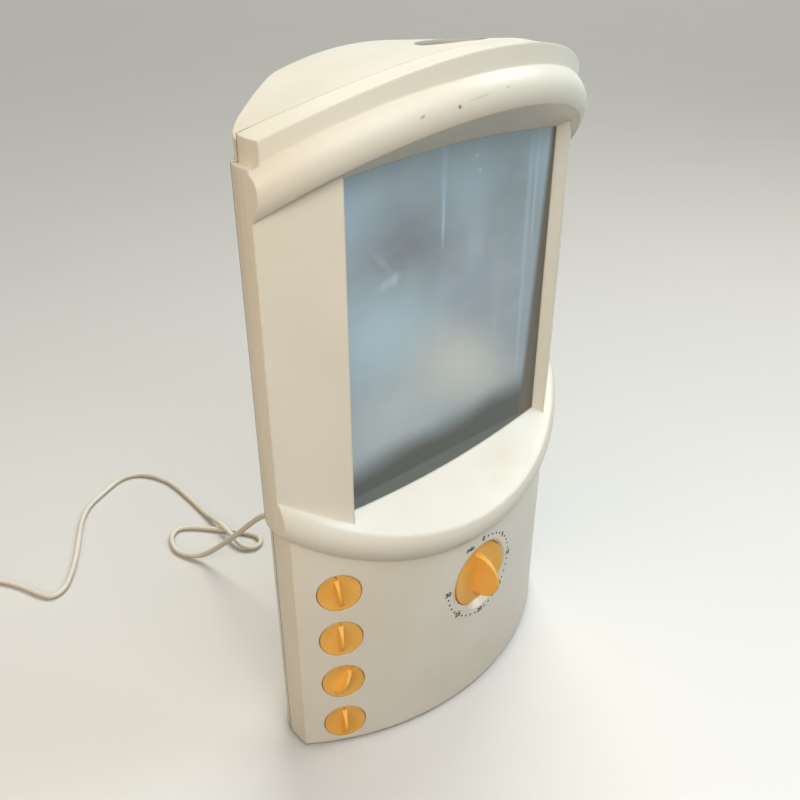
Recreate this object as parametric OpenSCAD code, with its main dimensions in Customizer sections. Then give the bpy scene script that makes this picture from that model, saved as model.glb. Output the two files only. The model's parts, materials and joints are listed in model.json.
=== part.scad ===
// Facial tanning lamp: a free-standing moulded housing with a bowed front, a recessed filter
// window between two tilted mouldings, four ultraviolet tubes on a reflector, a 30 minute
// timer knob, four session dials and a mains lead.
// Millimetres, +Z up, the front faces -Y, the origin is under the middle of the housing.

/* [Housing] */
// Height of the crown above the table, on the centre line
body_h = 450; // [420:1:490]
// Width of the base and of the cap, over their flat sides
base_w = 254; // [240:1:270]
// Width of the head, over the ends of the mouldings
head_w = 264; // [250:1:280]
// Depth from the nose of the mouldings to the flat back
housing_d = 113; // [105:1:130]
// Radius of the bowed front of the base, seen from above
bow_r = 197; // [180:1:230]
// How far the mouldings stand out in front of the base
nose_out = 6; // [4:0.5:9]
// Moulded wall
wall = 2.6; // [2:0.1:3.5]
// Depth of the front shell behind its bowed face, at the parting line
part_in = 15; // [12:0.5:20]
// Gap that shows as the parting line
part_gap = 0.3; // [0.2:0.1:0.6]
// Radius of the arched top, seen from the front
arch_r = 246; // [225:1:300]
// Fall of the top towards the back, in degrees
rear_fall = 5; // [0:0.5:8]
// Width of the flat back between its chamfers
back_w = 142; // [120:1:190]
// Length of the flat sides behind the front corners of the base
side_l = 28; // [22:1:36]
// Radius of the shoulders between the flat sides and the rear chamfers
shoulder_r = 32; // [20:1:36]

/* [Mouldings] */
// Height of the nose of the upper moulding below the crown, on the centre line
crown_drop = 21; // [18:0.5:26]
// How far the upper moulding falls from the middle to its ends
crown_rise = 40; // [30:1:46]
// Depth of the nose of the lower moulding below the crown, on the centre line
sill_drop = 297; // [285:1:310]
// Height of the nose of the lower moulding above the table
sill_z = body_h - sill_drop;
// How far the lower moulding climbs from the middle to its ends
sill_rise = 44; // [34:1:50]
// Nose radius of the upper moulding
crown_nose_r = 14.6; // [13:0.2:18]
// Nose radius of the lower moulding
sill_nose_r = 17; // [15:0.2:20]

/* [Window] */
// Depth of the filter pane behind the nose of the mouldings
pane_in = 38; // [34:0.5:44]
// Thickness of the filter pane
pane_t = 3; // [2:0.5:5]
// Width of the filter pane
pane_w = 190; // [180:1:200]
// Height of the filter pane
pane_h = 218; // [200:1:230]
// Depth of the middle of the window below the crown
window_drop = 158; // [154:1:166]
// Height of the middle of the window above the table
window_z = body_h - window_drop;
// Clear height of the window at the pane, on the centre line
window_h = 207; // [190:1:212]
// Clear width between the jambs at the pane
window_w = 177; // [165:1:184]
// Width between the inner edges of the two side panels
jamb_w = 188; // [184:1:196]
// Width of the bars of the frame behind the pane
frame_bar = 6; // [4:0.5:8]

/* [Lamps] */
// Tube diameter
tube_d = 16; // [15:0.5:20]
// Tube length over the end caps
tube_l = 212; // [206:1:214]
// Number of tubes
tube_n = 4; // [2:1:4]
// Spacing of the tubes
tube_pitch = 42; // [36:1:46]
// Clearance between the pane frame and the tubes
tube_gap = 4; // [3:0.5:6]
// Sheet thickness of the reflector
sheet_t = 1; // [0.6:0.1:1.5]

/* [Timer] */
// Diameter of the timer knob
knob_d = 49; // [44:0.5:52]
// Depth of the knob's axis below the lower moulding
timer_drop = 46.5; // [42:0.5:56]
// Height of the knob's axis above the table
timer_z = sill_z - timer_drop;
// Height of the knob's fin above the rim of its disc
fin_h = 16.2; // [14:0.1:22]
// Length of the knob's fin
fin_l = 31; // [28:0.5:40]
// Thickness of the fin at its crest
fin_t = 2.4; // [2:0.2:6]
// Thickness of the fin at its foot
fin_foot = 6; // [4:0.5:12]
// Depth of the rim of the knob's disc below the face of the base
knob_sink = 1.2; // [1:0.1:4]
// Fall of the two halves of the disc from the rim to the foot of the fin
knob_dip = 3.4; // [1:0.2:4]
// Thickness of the disc at its rim
knob_t = 6.6; // [6:0.2:9]
// Depth of the bevel around the knob
bevel_in = 3; // [2:0.5:4]
// Diameter of the timer's shaft
shaft_d = 6; // [5:0.5:8]
// Running clearance of the shafts, on the radius
run_gap = 0.05; // [0.02:0.01:0.1]

/* [Session dials] */
// Diameter of each session dial
dial_d = 28; // [24:0.5:32]
// Number of session dials
dial_n = 4; // [2:1:4]
// Height of the lowest dial's axis above the table
dial_z = 21; // [20:0.5:24]
// Depth of the highest dial's axis below the lower moulding
dial_drop = 15.6; // [14:0.2:24]
// Spacing of the dials
dial_pitch = (sill_z - dial_drop - dial_z) / (dial_n - 1);
// Distance of the dials' axes from the side of the base
dial_edge = 22.6; // [20:0.2:28]
// Place of the dials around the bow, in degrees from the middle
dial_turn = -asin((base_w / 2 - dial_edge) / bow_r);
// Thickness of each dial's disc
dial_t = 4; // [3:0.5:5]
// Height of each dial's fin above its disc
dial_fin_h = 6.4; // [4:0.2:9]
// Clear gap around knob and dials
ring_gap = 0.5; // [0.4:0.1:0.8]

/* [Base] */
// Height of the feet
foot_h = 3; // [2:0.5:5]
// Diameter of the feet
foot_d = 16; // [12:1:20]
// Thickness of the base plate
plate_t = 3; // [2:0.5:4]
// Clearance of the base plate in the shells
plate_gap = 0.4; // [0.2:0.1:0.8]
// Screw diameter
screw_d = 3.5; // [3:0.1:4]
// Screw head diameter
screw_head_d = 7; // [6:0.2:8]

/* [Grip] */
// Width of the finger recess in the top
grip_w = 44; // [36:1:80]
// Depth of the finger recess from front to back
grip_d = 38; // [24:1:42]
// Depth of the finger recess from the crown
grip_deep = 24; // [18:1:26]

/* [Mains lead] */
// Diameter of the lead
cord_d = 4.8; // [4.4:0.1:5.2]
// Length of the strain relief outside the back
gland_l = 30; // [20:1:40]
// Height of the lead's outlet above the table
outlet_z = 100; // [85:1:110]
// Place of the lead's outlet to the side of the middle
outlet_x = -30; // [-36:1:-24]
// Diameter of the coil at the middle of its turns
coil_d = 54; // [50:1:58]

/* [Hidden] */
$fn = 96;

cream = [0.94, 0.91, 0.82];
orange = [0.93, 0.62, 0.27];
metal = [0.72, 0.73, 0.74];
dark = [0.16, 0.16, 0.17];

// Frame: the knob's fin reaches furthest forward, the flat back furthest to the rear
reach = max(0, fin_h - knob_sink - nose_out);
back_y = (housing_d + reach) / 2;
nose_y = back_y - housing_d;
nose_r = bow_r + nose_out;
bow_y = nose_y + nose_r;
face_y = bow_y - bow_r;
part_r = bow_r - part_in;
base_hw = base_w / 2;
head_hw = head_w / 2;
function bow_at(r, x) = bow_y - sqrt(r * r - x * x);

// Tilted rings that carry the two mouldings
ring_sag = nose_r - sqrt(nose_r * nose_r - head_hw * head_hw);
crown_z = body_h - crown_drop;
crown_tilt = atan(crown_rise / ring_sag);
crown_sag = norm([crown_rise, ring_sag]);
crown_r = (head_hw * head_hw + crown_sag * crown_sag) / (2 * crown_sag);
sill_tilt = atan(sill_rise / ring_sag);
sill_sag = norm([sill_rise, ring_sag]);
sill_r = (head_hw * head_hw + sill_sag * sill_sag) / (2 * sill_sag);
crown_up = 10.8;
crown_down = 9.5;
crown_skew = -1.9;
sill_up = 11;
sill_down = 9.8;
sill_skew = 4;
nose_in = nose_out + wall + 1.5;
ledge_hi = crown_z - 27;
ledge_lo = sill_z + 34;

// Window and what lies behind it
pane_y = nose_y + pane_in;
frame_t = 3;
hook_y = pane_y + pane_t + frame_t;
hook_t = 2.6;
lip_gap = 0.6;
tube_y = hook_y + tube_gap + tube_d / 2;
cap_l = 10;
pin_l = 7;
pin_d = 2.4;
pin_pitch = 4.8;
holder_h = 16;
mirror_y = tube_y + tube_d / 2 + 7;
mirror_hw = (tube_n - 1) * tube_pitch / 2 + tube_d / 2 + 19;
seat_in = 1.8;
trough_lo = window_z - tube_l / 2 + seat_in;
trough_hi = window_z + tube_l / 2 - seat_in;
function tube_x(i) = (i - (tube_n - 1) / 2) * tube_pitch;

// Fastening points
join_y = bow_at(part_r, base_hw) - 3;
seat_y = join_y + 10;
boss_d = 12;
head_h = 2.4;
shell_screw_l = 19;
mirror_screw_l = 10;
base_screw_l = 13;
shell_points = [[60, 19], [base_hw - 14, sill_z + 19], [base_hw - 14, crown_z - 59]];
plate_z = foot_h + plate_t;
base_points = [[70, back_y - wall - 4], [30, bow_at(bow_r - wall, 30) + 4]];
mirror_points = [[tube_pitch / 2 + 9, trough_lo + 35], [tube_pitch / 2 + 9, trough_hi - 35]];

// Timer and dials, measured inwards from the face of the base
floor_in = knob_sink + knob_t + 2.2;
case_in = floor_in + wall;
fin_root = 0.5;
shaft_top = knob_sink + knob_dip + 1;
case_d = 42;
case_l = 26;
timer_tab = 19;
dial_floor = dial_t + 0.4;
stem_d = 6;
function dial_h(i) = dial_z + (i - 1) * dial_pitch;
// Where each dial stands, clockwise from upright, from the lowest to the highest
dial_set = [0, 28, 0, -8];

// Lead: points that the free stretch follows, its coil and its plug
gland_tip = [outlet_x, back_y + gland_l, outlet_z];
cord_route = [gland_tip, [-30.5, 103, 98.5], [-36, 123, 91], [-44, 152, 75], [-54, 185, 40], [-64, 216, 10],
    [-73, 233, 3.3], [-76, 249, 2.5], [-70, 266, 2.4], [-59, 273, 2.4], [-48, 267, 2.4], [-34, 249, 2.4],
    [-20, 229, 2.4], [-12, 214, 2.4], [-14, 203, 2.4], [-24, 200, 2.6], [-31, 208, 4.4], [-31, 222, 7],
    [-29, 240, 7.6], [-27, 260, 5], [-26, 278, 2.7], [-23, 311, 2.45], [-22, 344, 2.4], [-28, 368, 2.4],
    [-39, 383, 2.4], [-55, 387, 2.4], [-77, 379, 2.4], [-100, 367, 2.4], [-115, 352, 2.4], [-129, 331, 2.4],
    [-144, 307, 2.4], [-160, 285, 2.4], [-173, 272, 2.4], [-184, 270, 2.4], [-190, 279, 2.4],
    [-195, 294, 2.4], [-200, 307, 2.4], [-207, 320, 2.4], [-214, 333, 2.4], [-219, 342, 2.4]];
coil_at = [-249, 336];
coil_wide = 2 * cord_d;
coil_high = 3 * cord_d;
lead_route = [[-224.5, 356, 11.5], [-230, 366, 9.5], [-240, 376, 5.6], [-252, 382, 3], [-266, 384, 2.8],
    [-280, 380, 3.6], [-291, 371, 5.2], [-297, 361, 6.6], [-298, 352, 7]];
plug_at = [-298, 352];

// Helpers

function unit(v) = v / norm(v);

// Points of a rounded corner k between a and b
function corner(a, k, b, r, n = 6) =
    let (u = unit(a - k), w = unit(b - k), h = acos(u * w) / 2,
        c = k + unit(u + w) * r / sin(h), p = k + u * r / tan(h) - c, q = k + w * r / tan(h) - c,
        s = atan2(p.y, p.x), turn = atan2(p.x * q.y - p.y * q.x, p * q))
    [for (j = [0 : n]) c + r * [cos(s + turn * j / n), sin(s + turn * j / n)]];

// A strip of sheet to the left of a line of points
function left_of(a, b) = let (d = unit(b - a)) [-d.y, d.x];
function beside(p, i, t) =
    let (n = len(p), a = left_of(p[max(i - 1, 0)], p[max(i, 1)]),
        b = left_of(p[min(i, n - 2)], p[min(i + 1, n - 1)]), m = unit(a + b))
    p[i] + m * t / (m * a);
module sheet(p, t) polygon(concat(p, [for (i = [len(p) - 1 : -1 : 0]) beside(p, i, t)]));

module both_sides() {
    children();
    mirror([1, 0, 0]) children();
}

// A cylinder along Y from one depth to another
module rod_y(x, z, y0, y1, d) translate([x, y1, z]) rotate([90, 0, 0]) cylinder(d = d, h = y1 - y0);

// Frames of the timer and of the dials: local Z points out of the face
module at_timer() translate([0, face_y, timer_z]) rotate([90, 0, 0]) children();
module at_dial(i) translate([0, bow_y, dial_h(i)]) rotate([0, 0, dial_turn]) translate([0, -bow_r, 0])
    rotate([90, 0, 0]) children();

// Plans of the housing

// The side of a plan of half width hw, drawn in by t, from its front end to the flat back. The rear
// chamfer is the same for base and head, and a shoulder starts no further forward than the front corner.
side_y = bow_at(bow_r, base_hw) + side_l;
slope = atan((base_hw - back_w / 2) / (back_y - side_y));
front_corner = bow_at(bow_r + 1.4, head_hw);
back_r = 24;
function side_half(hw, t) =
    let (end_y = side_y - (hw - base_hw) / tan(slope),
        r = min(shoulder_r, (end_y - front_corner - 1) / tan(slope / 2)),
        k0 = [hw - t, nose_y - 1],
        k1 = [hw - t, end_y - t * tan(slope / 2)],
        k2 = [back_w / 2 - t * tan((90 - slope) / 2), back_y - t])
    concat([k0], corner(k0, k1, k2, r - t), corner(k1, k2, [0, back_y - t], back_r - t));
module rear_plan(hw, t) {
    half = side_half(hw, t);
    polygon(concat(half, [for (i = [len(half) - 1 : -1 : 0]) [-half[i].x, half[i].y]]));
}

// Plan of the base and of the cap, drawn in by t, with its bowed front
module bow_plan(t) intersection() {
    translate([0, bow_y]) circle(bow_r - t);
    rear_plan(base_hw, t);
}

module parting(r) translate([0, bow_y, -1]) cylinder(r = r, h = body_h + 20);
module arch(r, fall) translate([0, bow_y - part_r, body_h - arch_r]) rotate([90 - fall, 0, 0])
    linear_extrude(4 * housing_d, center = true) {
        circle(r);
        translate([-0.9 * r, -2 * body_h]) square([1.8 * r, 2 * body_h]);
    }

// Mouldings: a nose and a flange that leads back to the pane, revolved on a tilted axis.
// In the profiles X points to the front and Y up, from the nose on the centre line.

// Flange from a start just behind the lip, rooted in the nose, back to its end
lip_land = 1.2;
module flange(start, end, t) {
    root = start + unit(start - end);
    polygon([root, end, end + [0, t], root + [0, t]]);
}

crown_lip = [sqrt(pow(crown_nose_r, 2) - pow(crown_down + crown_skew, 2)) - crown_nose_r, -crown_down];
crown_back = [-pane_in - wall, window_z + window_h / 2 - crown_z];
module crown_profile() {
    intersection() {
        translate([-crown_nose_r, crown_skew]) circle(crown_nose_r);
        translate([-nose_in, -crown_down]) square([nose_in + 1, crown_up + crown_down]);
    }
    flange(crown_lip - [lip_land, 0], crown_back, 1.2 * wall);
}

sill_lip = [sqrt(pow(sill_nose_r, 2) - pow(sill_up - sill_skew, 2)) - sill_nose_r, sill_up];
sill_back = [-pane_in - wall, window_z - window_h / 2 - sill_z];
module sill_profile() {
    intersection() {
        translate([-sill_nose_r, sill_skew]) circle(sill_nose_r);
        translate([-nose_in, -sill_down]) square([nose_in + 1, sill_up + sill_down]);
    }
    flange(sill_lip - [lip_land, 0], sill_back, -1.2 * wall);
}

module at_crown() translate([0, nose_y, crown_z]) rotate([-crown_tilt, 0, 0]) children();
module at_sill() translate([0, nose_y, sill_z]) rotate([sill_tilt, 0, 0]) children();

// The mouldings end at the pane, and run on behind the side panels
jamb_back = jamb_w / 2 + wall;
module moulding_zone() translate([0, 0, foot_h]) linear_extrude(body_h)
    polygon([[-head_hw, nose_y - 1], [head_hw, nose_y - 1], [head_hw, pane_y + 22], [jamb_back, pane_y + 22],
        [jamb_back, pane_y], [-jamb_back, pane_y], [-jamb_back, pane_y + 22], [-head_hw, pane_y + 22]]);

module crown_moulding() intersection() {
    at_crown() translate([0, crown_r, 0]) rotate_extrude() translate([crown_r, 0]) rotate(-crown_tilt)
        crown_profile();
    moulding_zone();
}

module sill_moulding() intersection() {
    at_sill() translate([0, sill_r, 0]) rotate_extrude() translate([sill_r, 0]) rotate(sill_tilt)
        sill_profile();
    moulding_zone();
}

// Front shell

module skirt() difference() {
    translate([0, 0, foot_h]) linear_extrude(ledge_lo + wall - foot_h) bow_plan(0);
    translate([0, 0, foot_h - 1]) linear_extrude(body_h) bow_plan(wall);
    parting(part_r);
    at_sill() translate([-head_w, -housing_d, -4]) cube([2 * head_w, 4 * housing_d, body_h]);
}

module fascia() difference() {
    intersection() {
        translate([0, 0, ledge_hi - wall]) linear_extrude(body_h) bow_plan(0);
        arch(arch_r, 0);
    }
    intersection() {
        translate([0, 0, ledge_hi - 2 * wall]) linear_extrude(body_h) bow_plan(wall);
        arch(arch_r - wall, 0);
    }
    parting(part_r);
    at_crown() translate([-head_w, -housing_d, 4 - body_h]) cube([2 * head_w, 4 * housing_d, body_h]);
}

// Flat side panel, its jamb and the side wall, with the ledges that close the side wall
jamb_edge = [jamb_w / 2, bow_at(bow_r - 1, jamb_w / 2)];
jamb_foot = [window_w / 2, pane_y];
jamb_gap = 0.07;
ledge_x = base_hw - wall - 4;
module cheek() {
    side = side_half(head_hw, 0);
    difference() {
        union() {
            translate([0, 0, ledge_lo]) linear_extrude(ledge_hi - ledge_lo)
                sheet(concat([jamb_foot + wall * unit(jamb_foot - jamb_edge), jamb_edge, [head_hw, front_corner]],
                    [for (i = [1 : len(side) - 1]) side[i]]), wall);
            for (z = [ledge_lo, ledge_hi - wall]) translate([0, 0, z]) linear_extrude(wall) intersection() {
                rear_plan(head_hw, 0);
                polygon([[ledge_x, front_corner + wall], [head_hw, front_corner], [head_hw + 1, front_corner],
                    [head_hw + 1, back_y + 1], [ledge_x, back_y + 1]]);
            }
        }
        parting(part_r);
        // The jamb ends just short of the face of the pane
        translate([0, pane_y - jamb_gap, ledge_lo - 1]) cube([pane_w / 2 + 0.5, 2 * housing_d, body_h]);
    }
    // Hooks that hold the pane and its frame against the jamb
    for (z = [-70, 0, 70]) translate([0, 0, window_z + z - 7]) linear_extrude(14)
        polygon([[pane_w / 2 + 1, pane_y - 3], [pane_w / 2 + 1, hook_y], [pane_w / 2 - 2, hook_y],
            [pane_w / 2 - 2, hook_y + 1], [pane_w / 2 + 1, hook_y + hook_t],
            [pane_w / 2 + 1 + hook_t, hook_y + hook_t], [pane_w / 2 + 1 + hook_t, pane_y - 3]]);
}

module front_shell() color(cream) difference() {
    union() {
        skirt();
        crown_moulding();
        sill_moulding();
        fascia();
        both_sides() cheek();
        intersection() {
            for (p = shell_points) both_sides() rod_y(p.x, p.y, nose_y, join_y, boss_d - 3);
            parting(bow_r - wall / 2);
        }
        both_sides() translate([base_points[1].x, base_points[1].y, plate_z]) cylinder(d = 10, h = 16);
        // Cups behind the knob and the dials
        at_timer() translate([0, 0, -case_in]) cylinder(d = knob_d + 2 * ring_gap + 2 * wall, h = case_in - 1.5);
        for (i = [1 : dial_n]) at_dial(i) translate([0, 0, -dial_floor - wall])
            cylinder(d = dial_d + 2 * ring_gap + 2 * wall, h = dial_floor + wall - 1);
    }
    for (p = shell_points) both_sides() rod_y(p.x, p.y, join_y - 11, join_y + 1, screw_d + 2 * run_gap);
    both_sides() translate([base_points[1].x, base_points[1].y, plate_z - 1]) cylinder(d = screw_d + 2 * run_gap, h = 14);
    at_timer() {
        translate([0, 0, -floor_in]) cylinder(d = knob_d + 2 * ring_gap, h = 40);
        translate([0, 0, -bevel_in])
            cylinder(d1 = knob_d + 2 * ring_gap, d2 = knob_d + 2 * ring_gap + 4 * bevel_in, h = 2 * bevel_in);
        translate([0, 0, -case_in - 1]) cylinder(d = shaft_d + 2 * run_gap, h = 10);
        for (s = [-1, 1]) translate([0, s * timer_tab, -case_in - 1]) cylinder(d = screw_d + 2 * run_gap, h = 10);
    }
    for (i = [1 : dial_n]) at_dial(i) {
        translate([0, 0, -dial_floor]) cylinder(d = dial_d + 2 * ring_gap, h = 20);
        translate([0, 0, -dial_floor - wall - 1]) cylinder(d = stem_d + 2 * run_gap, h = 10);
    }
}

// Rear shell

module rear_outer() {
    translate([0, 0, foot_h]) linear_extrude(ledge_lo - foot_h) rear_plan(base_hw, 0);
    translate([0, 0, ledge_lo]) linear_extrude(ledge_hi - ledge_lo) rear_plan(head_hw, 0);
    translate([0, 0, ledge_hi]) linear_extrude(body_h - ledge_hi) rear_plan(base_hw, 0);
}

module rear_inner() {
    translate([0, 0, foot_h - 1]) linear_extrude(body_h) rear_plan(base_hw, wall);
    translate([0, 0, ledge_lo + wall]) linear_extrude(ledge_hi - ledge_lo - 2 * wall) rear_plan(head_hw, wall);
}

// Finger recess behind the crown
grip_r = (grip_w * grip_w / 4 + grip_d * grip_d / 4) / grip_d;
grip_y = bow_y - part_r + 8 + grip_d / 2;
module grip_plan(t) intersection_for (s = [-1, 1]) translate([0, grip_y + s * (grip_r - grip_d / 2)]) circle(grip_r + t);

module rear_shell() color(cream) difference() {
    intersection() {
        union() {
            difference() {
                rear_outer();
                intersection() {
                    rear_inner();
                    arch(arch_r - wall, rear_fall);
                }
            }
            for (p = shell_points) both_sides() rod_y(p.x, p.y, join_y, back_y, boss_d);
            for (p = mirror_points) both_sides() rod_y(p.x, p.y, mirror_y + sheet_t, back_y, boss_d - 3);
            both_sides() translate([base_points[0].x, base_points[0].y, plate_z]) cylinder(d = 10, h = 16);
            translate([0, 0, body_h - grip_deep - wall]) linear_extrude(grip_deep + wall) grip_plan(wall);
        }
        rear_outer();
        arch(arch_r, rear_fall);
        parting(part_r - part_gap);
    }
    for (p = shell_points) both_sides() {
        rod_y(p.x, p.y, join_y - 1, seat_y + 1, screw_d + 2 * run_gap);
        rod_y(p.x, p.y, seat_y, back_y + 1, screw_head_d + 1.4);
    }
    for (p = mirror_points) both_sides() rod_y(p.x, p.y, mirror_y, mirror_y + 12, screw_d + 2 * run_gap);
    both_sides() translate([base_points[0].x, base_points[0].y, plate_z - 1]) cylinder(d = screw_d + 2 * run_gap, h = 14);
    translate([0, 0, body_h - grip_deep]) linear_extrude(grip_deep + 1) grip_plan(0);
    // Air slots: in the floor of the finger recess and in two columns down the back
    for (x = [-12, -4, 4, 12]) translate([x - 1.5, grip_y - 8, body_h - grip_deep - wall - 1]) cube([3, 16, wall + 2]);
    for (x = [-46, 46], j = [0 : 7]) translate([x - 22, back_y - wall - 1, trough_lo + 60 + j * 14])
        cube([44, wall + 2, 4]);
    rod_y(outlet_x, outlet_z, back_y - wall - 1, back_y + 1, cord_d + 5);
}

module base_plate() color(cream) difference() {
    translate([0, 0, foot_h]) linear_extrude(plate_t) bow_plan(wall + plate_gap);
    at_dial(1) translate([0, 0, -dial_floor - wall - plate_gap])
        cylinder(d = dial_d + 2 * ring_gap + 2 * wall + 2 * plate_gap, h = 40);
    for (p = base_points) both_sides() translate([p.x, p.y, foot_h - 1]) cylinder(d = screw_d + 2 * run_gap, h = plate_t + 2);
    for (x = [-24 : 12 : 24]) translate([x - 2, back_y - 30, foot_h - 1]) cube([4, 20, plate_t + 2]);
    for (s = [-1, 1], p = foot_points) translate([s * p.x, p.y, foot_h - 1]) cylinder(d = foot_d / 2 + 2 * run_gap, h = plate_t + 2);
}

foot_x = 62;
foot_points = [[foot_x, bow_at(bow_r, foot_x) + foot_d], [foot_x, back_y - foot_d]];
module feet() color(dark) for (s = [-1, 1], p = foot_points) translate([s * p.x, p.y, 0]) {
    cylinder(d = foot_d, h = foot_h);
    cylinder(d = foot_d / 2, h = foot_h + plate_t);
}

// Window

module filter_pane() color([0.55, 0.62, 0.68]) translate([-pane_w / 2, pane_y, window_z - pane_h / 2])
    cube([pane_w, pane_t, pane_h]);

module pane_frame() color(metal) translate([0, pane_y + pane_t, window_z]) difference() {
    translate([-pane_w / 2, 0, -pane_h / 2]) cube([pane_w, frame_t, pane_h]);
    translate([frame_bar - pane_w / 2, -1, frame_bar - pane_h / 2])
        cube([pane_w - 2 * frame_bar, frame_t + 2, pane_h - 2 * frame_bar]);
}

// Lamps

mirror_line = concat([[mirror_hw + 6, hook_y + hook_t + lip_gap], [mirror_hw, mirror_y]],
    [for (i = [tube_n - 1 : -1 : 1], k = [[6, 0], [0, -6], [-6, 0]])
        [(tube_x(i) + tube_x(i - 1)) / 2 + k.x, mirror_y + k.y]],
    [[-mirror_hw, mirror_y], [-mirror_hw - 6, hook_y + hook_t + lip_gap]]);
module reflector() color(metal) difference() {
    union() {
        translate([0, 0, trough_lo]) linear_extrude(trough_hi - trough_lo) sheet(mirror_line, -sheet_t);
        for (z = [trough_lo, trough_hi - sheet_t]) translate([0, 0, z]) linear_extrude(sheet_t) difference() {
            polygon(mirror_line);
            for (i = [0 : tube_n - 1]) translate([tube_x(i), tube_y]) circle(d = tube_d + 2);
        }
    }
    for (p = mirror_points) both_sides() rod_y(p.x, p.y, mirror_y - 1, mirror_y + sheet_t + 1, screw_d + 2 * run_gap);
}

module uv_tube(i) if (i < tube_n) color([0.9, 0.92, 0.95]) translate([tube_x(i), tube_y, window_z - tube_l / 2 + cap_l])
    cylinder(d = tube_d, h = tube_l - 2 * cap_l);
module uv_tube_1() uv_tube(0);
module uv_tube_2() uv_tube(1);
module uv_tube_3() uv_tube(2);
module uv_tube_4() uv_tube(3);

module pins(d, h) for (s = [-1, 1]) translate([s * pin_pitch / 2, 0, 0]) cylinder(d = d, h = h);

module lamp_end() for (i = [0 : tube_n - 1], m = [0, 1]) translate([tube_x(i), tube_y, window_z]) mirror([0, 0, m])
    translate([0, 0, tube_l / 2]) children();

module tube_caps() color(metal) lamp_end() {
    translate([0, 0, -cap_l]) cylinder(d = tube_d, h = cap_l);
    pins(pin_d, pin_l);
}

module lamp_holders() color([0.93, 0.93, 0.9]) lamp_end() difference() {
    translate([0, 0, -seat_in]) linear_extrude(holder_h) intersection() {
        circle(d = tube_d + 10);
        square([tube_d + 10, tube_d + 4], center = true);
    }
    translate([0, 0, -seat_in - 1]) cylinder(d = tube_d + 0.6, h = seat_in + 1);
    translate([0, 0, -1]) pins(pin_d + 2 * run_gap, pin_l + 1.2);
}

module reflector_screws() color(metal) for (p = mirror_points) both_sides() {
    rod_y(p.x, p.y, mirror_y - head_h, mirror_y, screw_head_d);
    rod_y(p.x, p.y, mirror_y, mirror_y + mirror_screw_l, screw_d);
}

// Electrical gear on the base plate

ballast_l = 84;
ballast_w = 38;
ballast_h = 30;
ear_l = 10;
ear_t = 2;
coil_l = 52;
coil_over = 4;
coil_step = 6;
ballast_at = [0, back_y - ballast_w];
module ballast() color([0.35, 0.36, 0.38]) translate([ballast_at.x, ballast_at.y, plate_z]) {
    difference() {
        translate([-ballast_l / 2 - ear_l, -ballast_w / 2, 0]) cube([ballast_l + 2 * ear_l, ballast_w, ear_t]);
        for (s = [-1, 1]) translate([s * (ballast_l + ear_l) / 2, 0, -1])
            cylinder(d = screw_d + 2 * run_gap, h = ear_t + 2);
    }
    translate([-ballast_l / 2, -ballast_w / 2, ear_t]) cube([ballast_l, ballast_w, ballast_h]);
    translate([-coil_l / 2, -ballast_w / 2 - coil_over, ear_t + coil_step])
        cube([coil_l, ballast_w + 2 * coil_over, ballast_h - 2 * coil_step]);
}
module ballast_screws() color(metal) for (s = [-1, 1])
    translate([ballast_at.x + s * (ballast_l + ear_l) / 2, ballast_at.y, plate_z]) {
        translate([0, 0, ear_t]) cylinder(d = screw_head_d, h = head_h);
        cylinder(d = screw_d, h = ear_t);
    }

starter_d = 21.5;
starter_h = 34;
socket_h = 8;
starter_at = [ballast_l / 2 + 2 * starter_d - 1, ballast_at.y - 12];
module starters() color([0.9, 0.9, 0.88]) both_sides() translate([starter_at.x, starter_at.y, plate_z]) {
    cylinder(d = starter_d + 6, h = socket_h);
    translate([0, 0, socket_h]) cylinder(d = starter_d, h = starter_h);
}

module terminal_block() color([0.86, 0.85, 0.8]) translate([-15.5, face_y + 20, plate_z]) difference() {
    for (i = [0 : 2]) translate([i * 11, 0, 0]) {
        cube([9, 18, 10]);
        translate([1, 4, 10]) cube([7, 10, 5]);
        if (i < 2) translate([9, 5, 0]) cube([2, 8, 4]);
    }
    for (i = [0 : 2], y = [7, 11]) translate([i * 11 + 4.5, y, 6]) cylinder(d = 3, h = 12);
}

// Timer

module timer_case() color([0.82, 0.81, 0.78]) at_timer() translate([0, 0, -case_in]) difference() {
    union() {
        translate([0, 0, -1.6]) linear_extrude(1.6) intersection() {
            circle(d = 2 * timer_tab + 12);
            square([30, 2 * timer_tab + 12], center = true);
        }
        translate([0, 0, -case_l]) cylinder(d = case_d - 10, h = case_l);
        for (x = [-9, 3]) translate([x, -3, -case_l - 8]) cube([6, 0.8, 8]);
    }
    translate([0, 0, -14]) cylinder(d = shaft_d + 2 * run_gap, h = 20);
    for (s = [-1, 1]) translate([0, s * timer_tab, -4]) cylinder(d = screw_d + 2 * run_gap, h = 6);
}

module timer_screws() color(metal) at_timer() for (s = [-1, 1]) translate([0, s * timer_tab, -floor_in]) {
    cylinder(d = screw_head_d - 1, h = 1.7);
    translate([0, 0, -6]) cylinder(d = screw_d, h = 6);
}

module timer_shaft() color(metal) at_timer() translate([0, 0, -case_in - 12])
    cylinder(d = shaft_d, h = case_in + 12 - shaft_top);

// Half-moon fin on the plane z = 0: chord l, height h, hollow flanks from thickness foot to crest
function arc_r(half, rise) = (half * half + rise * rise) / (2 * rise);
module moon_fin(l, h, foot, crest) difference() {
    translate([0, 0, h - arc_r(l / 2, h)]) rotate([0, 90, 0])
        cylinder(r = arc_r(l / 2, h), h = foot + 2, center = true);
    translate([-foot, -l, -4 * l]) cube([2 * foot, 2 * l, 4 * l]);
    both_sides() translate([crest / 2 + arc_r(h, (foot - crest) / 2), 0, h]) rotate([90, 0, 0])
        cylinder(r = arc_r(h, (foot - crest) / 2), h = 2 * l, center = true);
}

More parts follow.
